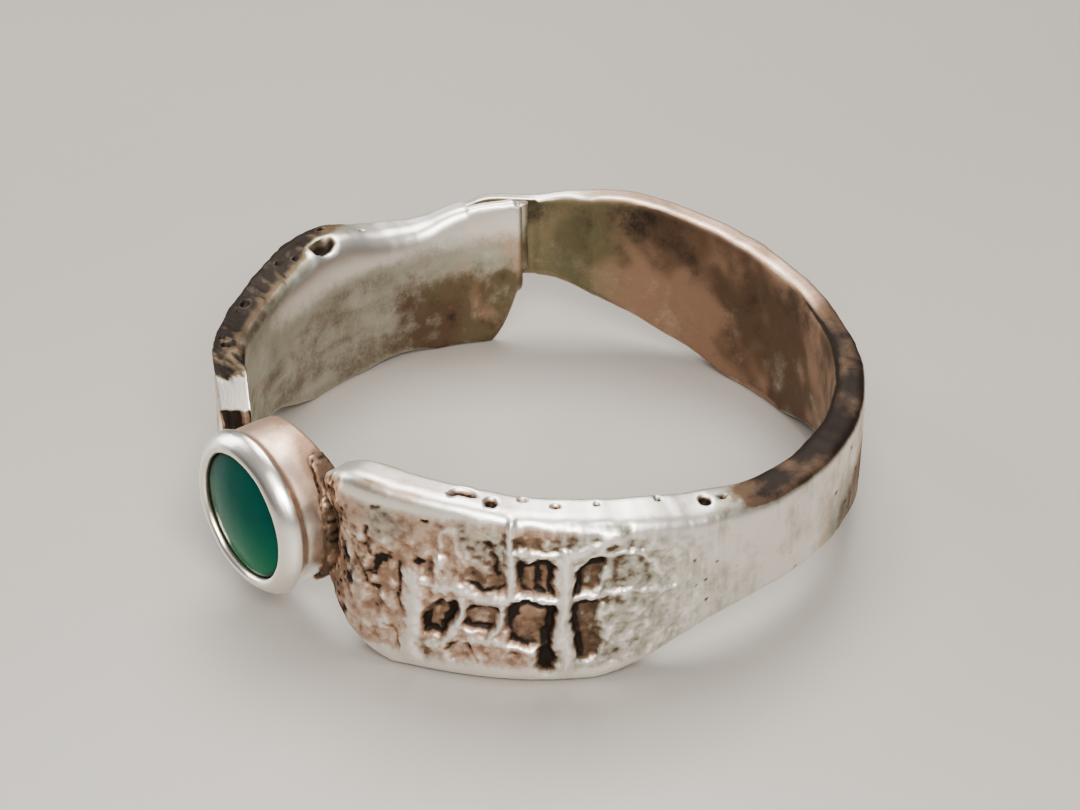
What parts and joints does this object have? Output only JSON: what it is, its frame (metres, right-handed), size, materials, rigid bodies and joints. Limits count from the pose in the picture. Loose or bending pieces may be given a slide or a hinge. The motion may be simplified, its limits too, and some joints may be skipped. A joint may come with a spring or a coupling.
{
  "type": "finger ring with a bezel-set stone",
  "caption": "Hand-forged silver finger ring: a textured band made of two lapped strips, with a round green cabochon in a thick plain collar.",
  "frame": {"origin": "on the finger hole's axis, at the plane the ring rests on when it lies flat", "axes": "+Z along the finger hole's axis, up from the resting plane; -Y outward through the middle of the stone; +X to the right when the stone is looked at face on"},
  "size_m": [0.0212, 0.0213, 0.0063],
  "materials": {
    "textured_silver": "forged silver, worn bright on its high places and darkened in its hollows",
    "polished_silver": "hand-polished silver with fine scratches",
    "green_stone": "polished, slightly translucent deep green",
    "solder": "pitted, oxidised silver solder"
  },
  "bodies": {
    "root": {"wide_strip": "textured_silver", "short_strip": "textured_silver", "bezel_collar": "polished_silver", "bezel_floor": "polished_silver", "cabochon": "green_stone", "lap_joint_solder": "solder", "bezel_solder_right": "solder", "bezel_solder_left": "solder"}
  },
  "joints": []
}
